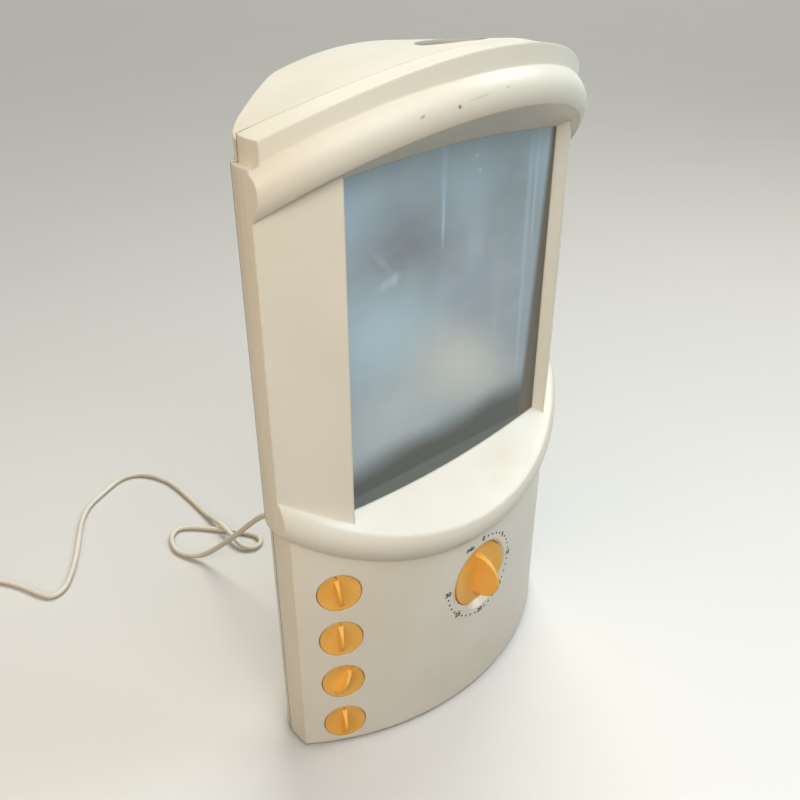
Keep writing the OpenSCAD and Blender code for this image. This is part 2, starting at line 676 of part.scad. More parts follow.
// Knob: a disc whose two halves fall towards a half-moon fin, on a hub that takes the shaft
module timer_knob() color(orange) at_timer() difference() {
    translate([0, 0, -knob_sink]) {
        difference() {
            translate([0, 0, -knob_t]) cylinder(d = knob_d, h = knob_t);
            rotate([90, 0, 0]) linear_extrude(2 * knob_d, center = true)
                polygon([[0, -knob_dip], [knob_d, knob_dip], [-knob_d, knob_dip]]);
        }
        translate([0, 0, -floor_in + knob_sink + 0.3]) cylinder(d = 2 * shaft_d, h = floor_in - knob_sink - knob_t);
        translate([0, 0, -knob_dip - fin_root]) moon_fin(fin_l, fin_root + knob_dip + fin_h, fin_foot, fin_t);
    }
    translate([0, 0, -floor_in - 1]) cylinder(d = shaft_d, h = floor_in + 1 - shaft_top);
}

// Session dial: a dished disc with a half-moon fin and an index notch, on a split stem that snaps
// behind the cup
dish = 1.4;
dish_r = arc_r(dial_d / 2, dish);
dial_fin_l = dial_d - 7;
dial_foot = 4.6;
dial_crest = 2;
notch_w = 0.8;
notch_l = 3;
module dial(i) if (i <= dial_n) color(orange) at_dial(i) rotate([0, 0, -dial_set[i - 1]]) difference() {
    union() {
        rotate_extrude() difference() {
            translate([0, -dial_t]) square([dial_d / 2, dial_t]);
            translate([0, dish_r - dish]) circle(dish_r);
        }
        translate([0, 0, -dish - fin_root]) moon_fin(dial_fin_l, fin_root + dish + dial_fin_h, dial_foot, dial_crest);
        translate([0, 0, -dial_floor - wall - 2.2]) cylinder(d = stem_d, h = wall + 3);
        translate([0, 0, -dial_floor - wall - 2.2]) cylinder(d1 = stem_d, d2 = stem_d + 1.6, h = 1.8);
    }
    translate([-0.8, -stem_d, -dial_floor - wall - 3]) cube([1.6, 2 * stem_d, wall + 2]);
    translate([-notch_w / 2, dial_d / 2 - notch_l, -dish]) cube([notch_w, 2 * notch_l, 2 * dish]);
}
module dial_1() dial(1);
module dial_2() dial(2);
module dial_3() dial(3);
module dial_4() dial(4);

// Housing screws

module shell_screws() color(metal) for (p = shell_points) both_sides() {
    rod_y(p.x, p.y, seat_y, seat_y + head_h, screw_head_d);
    rod_y(p.x, p.y, seat_y - shell_screw_l, seat_y, screw_d);
}

module base_screws() color(metal) for (p = base_points) both_sides() translate([p.x, p.y, 0]) {
    translate([0, 0, foot_h - 2.2]) cylinder(d = screw_head_d, h = 2.2);
    translate([0, 0, foot_h]) cylinder(d = screw_d, h = base_screw_l);
}

// Mains lead

module cord_gland() color(cream) translate([outlet_x, back_y, outlet_z]) rotate([-90, 0, 0]) rotate_extrude()
    polygon([[0, -wall - 2], [cord_d / 2 + 4, -wall - 2], [cord_d / 2 + 4, -wall], [cord_d / 2 + 2.4, -wall],
        [cord_d / 2 + 2.4, 0], [cord_d / 2 + 5, 0], [cord_d / 2 + 5, 2], [cord_d / 2 + 2.6, 3],
        [cord_d / 2 + 0.8, gland_l - 1], [cord_d / 2, gland_l], [0, gland_l]]);

// A smooth line through points, with n steps from each to the next
function near(p, i) = p[min(max(i, 0), len(p) - 1)];
function between(p, i, t) =
    let (a = near(p, i - 1), b = p[i], c = near(p, i + 1), d = near(p, i + 2))
    b + (c - a) * t / 2 + (2 * a - 5 * b + 4 * c - d) * t * t / 2 + (3 * b - a - 3 * c + d) * t * t * t / 2;
function smooth(p, n) = [for (k = [0 : (len(p) - 1) * n]) between(p, floor(k / n), (k % n) / n)];

// A tube swept along a line of points
function heading(p, i) = unit(p[min(i + 1, len(p) - 1)] - p[max(i - 1, 0)]);
function ring(p, i, d, n) =
    let (t = heading(p, i), s = unit(cross(t, [0, 0, 1])), u = cross(s, t))
    [for (k = [0 : n - 1]) p[i] + d / 2 * (s * cos(360 * k / n) + u * sin(360 * k / n))];
module tube(p, d, n = 8) polyhedron([for (i = [0 : len(p) - 1]) each ring(p, i, d, n)],
    concat([[for (k = [0 : n - 1]) k]], [[for (k = [n - 1 : -1 : 0]) (len(p) - 1) * n + k]],
        [for (i = [0 : len(p) - 2], k = [0 : n - 1])
            [i * n + k, (i + 1) * n + k, (i + 1) * n + (k + 1) % n, i * n + (k + 1) % n]]));

module supply_cord() color(cream) tube(smooth(cord_route, 2), cord_d);
module plug_lead() color(cream) tube(smooth(lead_route, 2), cord_d);

module cord_coil() color(cream) translate([coil_at.x, coil_at.y, 0]) rotate_extrude()
    translate([coil_d / 2 - coil_wide / 2, 0]) square([coil_wide, coil_high]);

module coil_tie() color(dark) translate([coil_at.x, coil_at.y + coil_d / 2, 0]) difference() {
    translate([-2, -coil_wide / 2 - 1.4, 0]) cube([4, coil_wide + 2.8, coil_high + 1.2]);
    translate([-3, -coil_wide / 2 - 0.4, -1]) cube([6, coil_wide + 0.8, coil_high + 1]);
}

plug_h = 14;
module plug_body() color(cream) translate([plug_at.x, plug_at.y, plug_h / 2]) rotate([90, 0, 0]) {
    rotate_extrude() polygon([[0, 0], [cord_d / 2 + 0.6, 0], [cord_d / 2 + 2.2, 12], [0, 12]]);
    translate([0, 0, 10]) linear_extrude(26) intersection() {
        square([26, plug_h], center = true);
        circle(d = 28);
    }
}
module plug_pins() color(metal) translate([plug_at.x, plug_at.y - 36, plug_h / 2]) rotate([90, 0, 0])
    for (s = [-1, 1]) translate([s * 9.3, 0, 0]) cylinder(d = 4, h = 19);

front_shell();
rear_shell();
base_plate();
feet();
filter_pane();
pane_frame();
reflector();
uv_tube_1();
uv_tube_2();
uv_tube_3();
uv_tube_4();
tube_caps();
lamp_holders();
ballast();
starters();
terminal_block();
timer_case();
timer_shaft();
timer_knob();
dial_1();
dial_2();
dial_3();
dial_4();
shell_screws();
base_screws();
reflector_screws();
timer_screws();
ballast_screws();
cord_gland();
supply_cord();
cord_coil();
coil_tie();
plug_lead();
plug_body();
plug_pins();
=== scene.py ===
# %% [markdown]
# # A facial tanning lamp
# The solids of this lamp come packed from its CAD source. Blender adds what a solid can't hold: the
# camera, the light, a cord of its true length, the finish of each plastic and metal, and the printed
# time scale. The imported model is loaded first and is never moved.

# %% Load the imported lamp
import json
import math
import bpy
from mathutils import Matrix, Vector


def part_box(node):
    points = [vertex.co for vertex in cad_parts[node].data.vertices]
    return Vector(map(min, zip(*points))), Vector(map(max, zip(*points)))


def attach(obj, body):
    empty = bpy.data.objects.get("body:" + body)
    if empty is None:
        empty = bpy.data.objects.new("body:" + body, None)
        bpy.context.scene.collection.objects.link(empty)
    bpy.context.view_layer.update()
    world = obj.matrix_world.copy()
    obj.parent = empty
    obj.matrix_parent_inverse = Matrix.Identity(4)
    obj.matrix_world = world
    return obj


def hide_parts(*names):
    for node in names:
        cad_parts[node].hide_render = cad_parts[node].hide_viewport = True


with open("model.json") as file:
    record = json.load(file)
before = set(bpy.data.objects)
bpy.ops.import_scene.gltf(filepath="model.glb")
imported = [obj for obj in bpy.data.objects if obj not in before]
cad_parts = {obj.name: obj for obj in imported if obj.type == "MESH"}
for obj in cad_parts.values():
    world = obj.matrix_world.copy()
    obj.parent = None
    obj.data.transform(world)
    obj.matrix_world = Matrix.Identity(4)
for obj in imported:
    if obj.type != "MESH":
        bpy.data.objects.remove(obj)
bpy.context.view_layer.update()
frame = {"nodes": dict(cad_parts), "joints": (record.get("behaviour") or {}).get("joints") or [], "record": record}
nodes = frame["nodes"]
MM = 0.001

# %% [markdown]
# ## The bowed front
# The front of the base is part of a cylinder, and what is printed on it follows that cylinder. Its
# radius isn't stored, but the joints know it: the timer's axis and a dial's axis both point at the
# cylinder's axis, so the distance from the dial to that meeting point is the radius.

# %% Find the bow from the joints
joints = {joint["name"]: joint for joint in frame["joints"]}
timer_at = Vector(joints["timer_turn"]["pos_m"])
dial_at = Vector(joints["dial_1_turn"]["pos_m"])
dial_in = Vector(joints["dial_1_turn"]["axis"])
bow_radius = -dial_at.x / dial_in.x
bow_axis_y = timer_at.y + bow_radius
print("bow radius", round(bow_radius / MM, 2), "mm, axis at y", round(bow_axis_y / MM, 2), "mm")


def on_bow(across, height, out):
    """A point on the bow, from a distance along its face, a height and a distance proud of it."""
    turn = across / bow_radius
    reach = bow_radius + out
    return Vector((reach * math.sin(turn), bow_axis_y - reach * math.cos(turn), height))


# %% [markdown]
# ## Camera
# The viewpoint is that of somebody standing in front of a low table, to the left of the lamp. The
# focal length is written for a sensor of 36 mm, and the lens is level from side to side. A constraint
# could aim it at a target, but two angles, one down and one to the right, say exactly where it looks.

# %% Camera
camera_place = Vector((-359.8, -323.1, 500.0)) * MM
camera_down = 29.355
camera_right = 45.193
camera_data = bpy.data.cameras.new("camera")
camera_data.sensor_width = 36
camera_data.lens = 37.74
camera_data.clip_start = 0.01
camera = bpy.data.objects.new("camera", camera_data)
camera.location = camera_place
camera.rotation_euler = (math.radians(90 - camera_down), 0, math.radians(-camera_right))
bpy.context.scene.collection.objects.link(camera)
bpy.context.scene.camera = camera
print("camera at", tuple(round(v, 3) for v in camera_place))

# %% [markdown]
# ## Node helpers
# Every finish below is built from a few shader nodes, and small helpers keep that short. The first
# ones start a material and add a noise that is read at a given size, because a plastic has variation
# at several sizes at once. The others carry values, mix colours and add relief.

# %% Start a material and read a noise
def linear(red, green, blue):
    """A colour given in the 0 to 255 steps of a screen, as the shader wants it."""
    def one(step):
        share = step / 255
        return share / 12.92 if share <= 0.04045 else ((share + 0.055) / 1.055) ** 2.4
    return (one(red), one(green), one(blue), 1.0)


def start_material(name):
    """A new material, its node tree, its shader and its Object coordinates."""
    material = bpy.data.materials.new(name)
    material.use_nodes = True
    tree = material.node_tree
    shader = tree.nodes["Principled BSDF"]
    coords = tree.nodes.new("ShaderNodeTexCoord").outputs["Object"]
    return material, tree, shader, coords


def add_noise(tree, coords, size, detail=3.0, stretch=(1, 1, 1)):
    """Noise whose blotches are about size metres across; stretch draws them out along an axis."""
    mapping = tree.nodes.new("ShaderNodeMapping")
    mapping.inputs["Scale"].default_value = [1 / s for s in stretch]
    noise = tree.nodes.new("ShaderNodeTexNoise")
    noise.inputs["Scale"].default_value = 1 / size
    noise.inputs["Detail"].default_value = detail
    tree.links.new(coords, mapping.inputs["Vector"])
    tree.links.new(mapping.outputs["Vector"], noise.inputs["Vector"])
    return noise.outputs["Fac"]


print("noise helpers ready")

# %% Carry values, mix colours, add relief
def add_range(tree, value, low, high, to_low, to_high, smooth=False):
    """Carry a value from one range over to another, held at both ends, evenly or with soft ends."""
    node = tree.nodes.new("ShaderNodeMapRange")
    if smooth:
        node.interpolation_type = "SMOOTHSTEP"
    ends = {"From Min": low, "From Max": high, "To Min": to_low, "To Max": to_high}
    for name, number in ends.items():
        node.inputs[name].default_value = number
    tree.links.new(value, node.inputs["Value"])
    return node.outputs["Result"]


def add_mix(tree, share, first, second):
    """Mix two colours, each a colour or a socket, by a share that is a socket."""
    node = tree.nodes.new("ShaderNodeMix")
    node.data_type = "RGBA"
    tree.links.new(share, node.inputs["Factor"])
    for socket, colour in ((node.inputs[6], first), (node.inputs[7], second)):
        if isinstance(colour, tuple):
            socket.default_value = colour
        else:
            tree.links.new(colour, socket)
    return node.outputs[2]


def add_math(tree, kind, first, second=0.0):
    """A sum or function of two values, each a number or a socket."""
    node = tree.nodes.new("ShaderNodeMath")
    node.operation = kind
    for socket, value in zip(node.inputs, (first, second)):
        if isinstance(value, (int, float)):
            socket.default_value = value
        else:
            tree.links.new(value, socket)
    return node.outputs[0]


def add_bump(tree, shader, height, depth, strength, edge=0.0):
    """Fine relief from a height; an edge radius also lets the light roll over sharp corners."""
    node = tree.nodes.new("ShaderNodeBump")
    if edge:
        soft = tree.nodes.new("ShaderNodeBevel")
        soft.samples = 6
        soft.inputs["Radius"].default_value = edge
        tree.links.new(soft.outputs["Normal"], node.inputs["Normal"])
    node.inputs["Distance"].default_value = depth
    node.inputs["Strength"].default_value = strength
    tree.links.new(height, node.inputs["Height"])
    tree.links.new(node.outputs["Normal"], shader.inputs["Normal"])


print("value helpers ready")

# %% [markdown]
# ## Moulded plastics and metals
# A moulded plastic isn't one colour: it has broad, faint clouds where it has yellowed, and a fine
# grain from the tool that scatters the light. A picture of plastic could be wrapped round each piece,
# but noise needs no file, shows no seams and works on any mesh. The same recipe serves the orange
# knobs, the soft sleeve of the cord, the rubber feet and the metals, with other colours, sizes and
# gloss, so each finish is one line of a table.

# %% One recipe for moulded and rolled surfaces
DULL_SPREAD = 0.05


def grained_finish(name, main, other, cloud, dullness, grain, depth, metal=0.0, stretch=(1, 1, 1),
                   edge=0.0, mirror=0.5):
    """Clouds of two colours, a dullness that varies a little, and a grain; sizes in metres."""
    material, tree, shader, coords = start_material(name)
    clouds = add_range(tree, add_noise(tree, coords, cloud, 4.0, stretch), 0.35, 0.65, 0.0, 1.0, True)
    tree.links.new(add_mix(tree, clouds, main, other), shader.inputs["Base Color"])
    patches = add_noise(tree, coords, cloud / 3, 3.0, stretch)
    dull = add_range(tree, patches, 0.3, 0.7, dullness - DULL_SPREAD, dullness + DULL_SPREAD)
    tree.links.new(dull, shader.inputs["Roughness"])
    shader.inputs["Metallic"].default_value = metal
    shader.inputs["Specular IOR Level"].default_value = mirror
    add_bump(tree, shader, add_noise(tree, coords, grain, 2.0, stretch), depth, 0.5, edge)
    return material


print("recipe ready")

# %% Finishes by name
PLAIN = {}
ROUND_EDGED = {"edge": 0.9 * MM, "mirror": 0.25}
METAL = {"metal": 1.0}
BRUSHED = {"metal": 1.0, "stretch": (1, 1, 12)}
ROLLED = {"metal": 0.3, "stretch": (20, 1, 1)}
finish_table = [
    # name, main and other colour, cloud in mm, dullness, grain in mm, its depth in mm, what else differs
    ("orange_plastic", (255, 199, 102), (253, 190, 88), 20, 0.46, 0.6, 0.03, ROUND_EDGED),
    ("cord_pvc", (234, 228, 212), (226, 219, 201), 30, 0.5, 0.8, 0.04, PLAIN),
    ("frame_metal", (120, 122, 124), (104, 106, 108), 30, 0.5, 1.0, 0.05, PLAIN),
    ("bright_aluminium", (214, 216, 219), (198, 201, 205), 20, 0.22, 0.7, 0.02, BRUSHED),
    ("cap_aluminium", (198, 199, 202), (182, 184, 188), 10, 0.32, 0.4, 0.02, METAL),
    ("holder_plastic", (236, 234, 226), (226, 223, 212), 15, 0.5, 0.5, 0.03, PLAIN),
    ("ballast_iron", (78, 80, 84), (58, 60, 64), 12, 0.45, 0.5, 0.08, ROLLED),
    ("steel", (190, 192, 194), (168, 170, 174), 4, 0.3, 0.3, 0.02, METAL),
    ("foot_rubber", (44, 44, 46), (34, 34, 36), 6, 0.7, 0.5, 0.06, PLAIN),
    ("tube_glass", (236, 239, 243), (226, 231, 238), 30, 0.12, 0.5, 0.01, PLAIN),
]
finishes = {}
for name, main, other, cloud, dullness, grain, depth, extra in finish_table:
    sizes = (cloud * MM, dullness, grain * MM, depth * MM)
    finishes[name] = grained_finish(name, linear(*main), linear(*other), *sizes, **extra)
print("finishes", sorted(finishes))

# %% [markdown]
# ## Cream housing
# The housing has the moulded recipe's clouds and grain, and marks of its life: dark rubs and a faint
# scratch on the nose of the upper moulding, a warm stain on the sill under the window, and dirt in the
# line where the two shells meet; painted shade darkens the walls of the finger recess. Marks painted by hand would
# need an unwrapped mesh, so these are worked out from Object coordinates. The dirt follows the bow. Each other
# mark is an egg-shaped region around a point, broken up by a noise so that it has no clean rim.

# %% Marks of wear
def add_mark(tree, coords, place, size, speck, low, high, tilt=0):
    """Share of a mark: 1 in the middle of an egg of half-lengths size at place, broken by a noise.
    The tilt, in degrees, lowers the end of the egg that points along X."""
    mapping = tree.nodes.new("ShaderNodeMapping")
    mapping.vector_type = "TEXTURE"
    mapping.inputs["Location"].default_value = [v * MM for v in place]
    mapping.inputs["Rotation"].default_value = (0, math.radians(tilt), 0)
    mapping.inputs["Scale"].default_value = [v * MM for v in size]
    tree.links.new(coords, mapping.inputs["Vector"])
    length = tree.nodes.new("ShaderNodeVectorMath")
    length.operation = "LENGTH"
    tree.links.new(mapping.outputs["Vector"], length.inputs[0])
    inside = add_range(tree, length.outputs["Value"], 0.0, 1.0, 1.0, 0.0, True)
    broken = add_range(tree, add_noise(tree, coords, speck * MM, 4.0), low, high, 0.0, 1.0, True)
    return add_math(tree, "MULTIPLY", inside, broken)


STAIN_AT, STAIN_HALF = (30, -30, 176), (70, 26, 20)
# Painted shade on the upright walls of the finger recess
RECESS_SHADE_AT, RECESS_SHADE_HALF = (0, 2, 440), (45, 45, 16)
rubs = [
    # place and half-lengths in mm, tilt, share
    ((-62.1, -42.6, 422.7), (2.2, 3, 1.2), -30, 0.55),
    ((-41.8, -47.8, 425.3), (1.6, 3, 1.6), 0, 0.95),
    ((-29, -49.7, 428.6), (14, 3, 0.8), -9, 0.22),
    ((-9.7, -51.1, 431.2), (3.5, 3, 1.2), -12, 0.3),
]
PART_BEHIND = 15 * MM
LINE_FULL, LINE_GONE = 0.2 * MM, 0.7 * MM
SIDE_FROM, SIDE_FULL = 118 * MM, 122 * MM


def parting_dirt(tree, coords):
    """Share of the dirt where the two shells meet: a thin sheet behind the bow, at the sides only."""
    flat = tree.nodes.new("ShaderNodeVectorMath")
    flat.operation = "MULTIPLY_ADD"
    flat.inputs[1].default_value = (1, 1, 0)
    flat.inputs[2].default_value = (0, -bow_axis_y, 0)
    tree.links.new(coords, flat.inputs[0])
    reach = tree.nodes.new("ShaderNodeVectorMath")
    reach.operation = "LENGTH"
    tree.links.new(flat.outputs["Vector"], reach.inputs[0])
    behind = add_math(tree, "SUBTRACT", reach.outputs["Value"], bow_radius - PART_BEHIND)
    off = add_math(tree, "ABSOLUTE", behind)
    line = add_range(tree, off, LINE_FULL, LINE_GONE, 0.9, 0.0, True)
    split = tree.nodes.new("ShaderNodeSeparateXYZ")
    tree.links.new(coords, split.inputs[0])
    across = add_math(tree, "ABSOLUTE", split.outputs["X"])
    aside = add_range(tree, across, SIDE_FROM, SIDE_FULL, 0.0, 1.0, True)
    return add_math(tree, "MULTIPLY", line, aside)


print("rubs", len(rubs))

# %% Cream plastic with rubs and stains
def cream_finish():
    """Yellowed clouds, then each mark of wear and the painted shade of the finger recess over them, on a softly
    edged, grained plastic.
    """
    material, tree, shader, coords = start_material("cream_plastic")
    clouds = add_range(tree, add_noise(tree, coords, 0.09, 4.0), 0.3, 0.7, 0.0, 1.0, True)
    colour = add_mix(tree, clouds, linear(240, 235, 220), linear(234, 227, 208))
    stain = add_mark(tree, coords, STAIN_AT, STAIN_HALF, 30, 0.3, 0.7)
    colour = add_mix(tree, add_math(tree, "MULTIPLY", stain, 0.35), colour, linear(226, 208, 176))
    for place, size, tilt, share in rubs:
        rub = add_math(tree, "MULTIPLY", add_mark(tree, coords, place, size, 2.0, 0.15, 0.5, tilt), share)
        colour = add_mix(tree, rub, colour, linear(92, 86, 78))
    # Painted shade keeps to the upright walls of the finger recess
    facing = tree.nodes.new("ShaderNodeSeparateXYZ")
    surface = tree.nodes.new("ShaderNodeNewGeometry")
    tree.links.new(surface.outputs["Normal"], facing.inputs[0])
    upright = add_range(tree, facing.outputs["Z"], 0.3, 0.8, 1.0, 0.0)
    recess_shade = add_mark(tree, coords, RECESS_SHADE_AT, RECESS_SHADE_HALF, 30, -1.0, 0.0)
    colour = add_mix(tree, add_math(tree, "MULTIPLY", recess_shade, upright), colour, linear(112, 112, 98))
    colour = add_mix(tree, parting_dirt(tree, coords), colour, linear(104, 86, 62))
    tree.links.new(colour, shader.inputs["Base Color"])
    dull = add_range(tree, add_noise(tree, coords, 0.03, 3.0), 0.3, 0.7, 0.3, 0.42)
    tree.links.new(dull, shader.inputs["Roughness"])
    add_bump(tree, shader, add_noise(tree, coords, 0.7 * MM, 2.0), 0.03 * MM, 0.4, 1.6 * MM)
    return material


finishes["cream_plastic"] = cream_finish()
print("cream housing ready")

# %% [markdown]
# ## Filter pane
# The pane is a hazy filter sheet. It shows no clear picture of the tubes. Its colour holds painted light:
# a soft, cool glow, a painted reflection of the lit room as a warm patch, painted shade along the
# bottom and up the right edge where the trough behind it ends, and painted highlight streaks; it also
# carries smears from wiping. Clear glass over bright tubes would be truer to physics, but slower and noisier,
# so this light is painted in the sheet's own colour and only the gloss is left to the light. Each cloud and smear
# is one line of a table: its middle, its half-lengths and its tilt on the sheet, how coarsely it is broken up, and
# its colour.

# %% Painted glow, reflections and shade, and smears of the pane
pane_low, pane_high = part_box("filter_pane")
PANE_DEPTH = pane_low.y / MM
# Broad clouds of painted glow and painted reflection of the lit room, and a few small smears
pane_reflections_and_smears = [
    # middle and half-lengths in mm, tilt, speck in mm, noise from and to, share, colour
    ((-42, 348), (66, 48), 0, 60, 0.0, 0.5, 0.9, (138, 146, 151)),
    ((-62, 298), (74, 50), 10, 50, 0.1, 0.5, 0.95, (186, 212, 222)),
    ((-52, 246), (90, 46), 0, 60, 0.1, 0.5, 0.9, (198, 208, 209)),
    ((8, 257), (84, 40), 32, 70, 0.0, 0.4, 0.95, (217, 220, 209)),
    ((-57.5, 330.5), (14, 4.5), -14, 10, 0.0, 0.5, 0.55, (206, 220, 228)),
    ((-52.5, 331), (3.5, 6.5), 0, 10, 0.0, 0.5, 0.5, (200, 214, 222)),
    ((-63, 344), (19, 3), 44, 12, 0.1, 0.6, 0.35, (186, 196, 204)),
    ((52, 360), (50, 52), 0, 60, 0.0, 0.5, 0.8, (146, 160, 164)),
    ((4.4, 270.8), (6, 3.5), -20, 5, 0.35, 0.6, 0.7, (222, 226, 224)),
    ((18, 262), (9, 4), 30, 3, 0.45, 0.6, 0.35, (226, 228, 222)),
    ((13.6, 387.8), (1.8, 1.8), 0, 3, 0.1, 0.4, 0.9, (232, 238, 242)),
    ((17.1, 378.7), (2.6, 1.6), 0, 1.5, 0.35, 0.55, 0.9, (226, 232, 236)),
    ((14, 338), (12, 30), 0, 20, 0.2, 0.6, 0.35, (176, 196, 206)),
]
# Painted highlights: upright streaks of light mirrored in the sheet
pane_highlight_streaks = [
    # middle and half-width in mm, heights of its ends in mm, share
    (-13.8, 4.2, (336, 396), 0.75),
    (72, 4.5, (318, 396), 0.4),
    (65.5, 4.0, (222, 310), 0.35),
]
MARK_REACH = 40
STREAK_RISE = 18
WANDER = 8 * MM
GLOW_FROM, GLOW_FULL = 330 * MM, 385 * MM
# Painted shade along the bottom of the sheet, and a painted highlight at its lower lip
SHADE_STRIP_FULL, SHADE_STRIP_GONE = 208 * MM, 231 * MM
SILL_SLOPE = 0.04
LIP_GLINT_FULL, LIP_GLINT_GONE = 195.5 * MM, 198.5 * MM
# Painted shade as a wedge up the right edge of the sheet
RIGHT_SHADE_FOOT, RIGHT_SHADE_LEAN = 206 * MM, 0.0624
RIGHT_SHADE_FROM, RIGHT_SHADE_FULL = 70 * MM, 76.5 * MM
print("pane from", [round(v, 3) for v in pane_low], "to", [round(v, 3) for v in pane_high])

# %% Filter pane finish
def upright_streak(tree, along, height, middle, wide, span, share):
    """Share of a painted upright highlight streak whose half-width narrows from the top of its span to the bottom.
    """
    low, high = span
    beside = add_math(tree, "ABSOLUTE", add_math(tree, "SUBTRACT", along, middle * MM))
    reach = add_range(tree, height, low * MM, high * MM, 0.25 * wide * MM, wide * MM)
    core = add_range(tree, add_math(tree, "DIVIDE", beside, reach), 0.0, 1.0, share, 0.0, True)
    rise = add_range(tree, height, low * MM, (low + STREAK_RISE) * MM, 0.0, 1.0, True)
    return add_math(tree, "MULTIPLY", core, rise)


def pane_finish():
    """The painted glow of the sheet, its painted reflections of the room and smears, its painted highlight
    streaks, and the painted shade at its rim, in that order.
    """
    material, tree, shader, coords = start_material("filter_glass")
    split = tree.nodes.new("ShaderNodeSeparateXYZ")
    tree.links.new(coords, split.inputs[0])
    along = split.outputs["X"]
    height = split.outputs["Z"]
    wander = add_range(tree, add_noise(tree, coords, 0.06, 1.0), 0.0, 1.0, -WANDER, WANDER)
    level = add_math(tree, "ADD", height, wander)
    # Cool light that gathers towards the top, and faint upright tracks of a cloth
    glow = add_range(tree, level, GLOW_FROM, GLOW_FULL, 0.0, 1.0, True)
    colour = add_mix(tree, glow, linear(164, 178, 185), linear(178, 203, 217))
    track = add_range(tree, add_noise(tree, coords, 0.04, 3.0, (0.5, 1, 4)), 0.45, 0.8, 0.0, 0.25, True)
    colour = add_mix(tree, track, colour, linear(198, 214, 222))
    # Painted glow, painted reflections of the room, and smears
    for middle, half, tilt, speck, low, high, share, tint in pane_reflections_and_smears:
        place = (middle[0], PANE_DEPTH, middle[1])
        mark = add_mark(tree, coords, place, (half[0], MARK_REACH, half[1]), speck, low, high, tilt)
        colour = add_mix(tree, add_math(tree, "MULTIPLY", mark, share), colour, linear(*tint))
    wiped = add_range(tree, add_noise(tree, coords, 0.013, 4.0, (2.2, 1, 1)), 0.4, 0.75, 0.0, 0.14, True)
    colour = add_mix(tree, wiped, colour, linear(206, 214, 217))
    # Painted highlights: upright streaks of light mirrored in the sheet
    for middle, wide, span, share in pane_highlight_streaks:
        streak = upright_streak(tree, along, level, middle, wide, span, share)
        colour = add_mix(tree, streak, colour, linear(192, 216, 234))
    # Painted shade where the trough ends: a dark strip along the bottom with a thin painted highlight
    # at its lower lip, and a painted dark wedge of shade up the right edge
    bottom_shade = add_range(tree, level, SHADE_STRIP_FULL, SHADE_STRIP_GONE, 1.0, 0.0, True)
    colour = add_mix(tree, bottom_shade, colour, linear(82, 85, 81))
    above_sill = add_math(tree, "ADD", height, add_math(tree, "MULTIPLY", along, SILL_SLOPE))
    lip_glint = add_range(tree, above_sill, LIP_GLINT_FULL, LIP_GLINT_GONE, 0.55, 0.0, True)
    colour = add_mix(tree, lip_glint, colour, linear(116, 125, 121))
    # Painted shade up the right edge
    lean = add_math(tree, "MULTIPLY", add_math(tree, "SUBTRACT", height, RIGHT_SHADE_FOOT), RIGHT_SHADE_LEAN)
    edge = add_range(tree, add_math(tree, "SUBTRACT", along, lean), RIGHT_SHADE_FROM, RIGHT_SHADE_FULL, 0.0, 0.95, True)
    colour = add_mix(tree, edge, colour, linear(104, 97, 82))
    tree.links.new(colour, shader.inputs["Base Color"])
    dull = add_range(tree, add_noise(tree, coords, 0.04, 1.0, (1, 1, 3)), 0.3, 0.7, 0.19, 0.23)
    tree.links.new(dull, shader.inputs["Roughness"])
    add_bump(tree, shader, add_noise(tree, coords, 0.03, 2.0, (1, 1, 2)), 0.15 * MM, 0.3)
    return material


finishes["filter_glass"] = pane_finish()
print("clouds and smears on the pane", len(pane_reflections_and_smears), "streaks", len(pane_highlight_streaks))

# %% [markdown]
# ## Dress the solids
# The record names one material slot for each solid, so the finishes go on by that name, and that still
# works when the solids are built anew. The solids keep their meshes: only the material changes.

# %% Put a finish on each solid
slot_of = {part["node"]: part["material_slot"] for part in frame["record"]["subparts"]}
for name, solid in nodes.items():
    for slot in solid.material_slots:
        slot.material = finishes[slot_of[name]]
    if not solid.material_slots:
        solid.data.materials.append(finishes[slot_of[name]])
print("dressed", len(nodes), "solids")

# %% [markdown]
# ## The cord
# A light two-core flex, 4.8 mm wide and about 1.8 m long. It leaves the strain relief at the back,
# falls to the table, makes a loop and runs out of view to the left. The rest is wound into a neat
# coil just outside the view, with the plug beside it. The free stretch follows a list of points, in
# millimetres, and a loop works out the turns of the coil. A curve with a round bevel would look the
# same, but a tube swept along the line is a closed mesh at once, and the line gives its true length.

# %% Cord route
CORD_WIDE = 4.8 * MM
free_route = [
    (-30, 91, 100), (-30.5, 103, 98.5), (-36, 123, 91), (-44, 152, 75), (-54, 185, 40), (-64, 216, 10),
    (-73, 233, 3.3), (-76, 249, 2.5), (-70, 266, 2.4), (-59, 273, 2.4), (-48, 267, 2.4), (-34, 249, 2.4),
    (-20, 229, 2.4), (-12, 214, 2.4), (-14, 203, 2.4), (-24, 200, 2.6), (-31, 208, 4.4), (-31, 222, 7),
    (-29, 240, 7.6), (-27, 260, 5), (-26, 278, 2.7), (-23, 311, 2.45), (-22, 344, 2.4), (-28, 368, 2.4),
    (-39, 383, 2.4), (-55, 387, 2.4), (-77, 379, 2.4), (-100, 367, 2.4), (-115, 352, 2.4), (-129, 331, 2.4),
    (-144, 307, 2.4), (-160, 285, 2.4), (-173, 272, 2.4), (-184, 270, 2.4), (-190, 279, 2.4),
    (-195, 294, 2.4), (-200, 307, 2.4), (-207, 320, 2.4), (-214, 333, 2.4), (-219, 342, 2.4),
]
plug_route = [
    (-230, 366, 9.5), (-240, 376, 5.6), (-252, 382, 3), (-266, 384, 2.8), (-280, 380, 3.6),
    (-291, 371, 5.2), (-297, 361, 6.6), (-298, 352, 7),
]
coil_middle = (-249, 336)
coil_start = math.radians(32)
turn_places = [(29.4, 2.4), (24.6, 2.4), (24.6, 7.2), (29.4, 7.2), (29.4, 12.0)]
TURN_STEPS = 24
EASE_FROM = 0.75
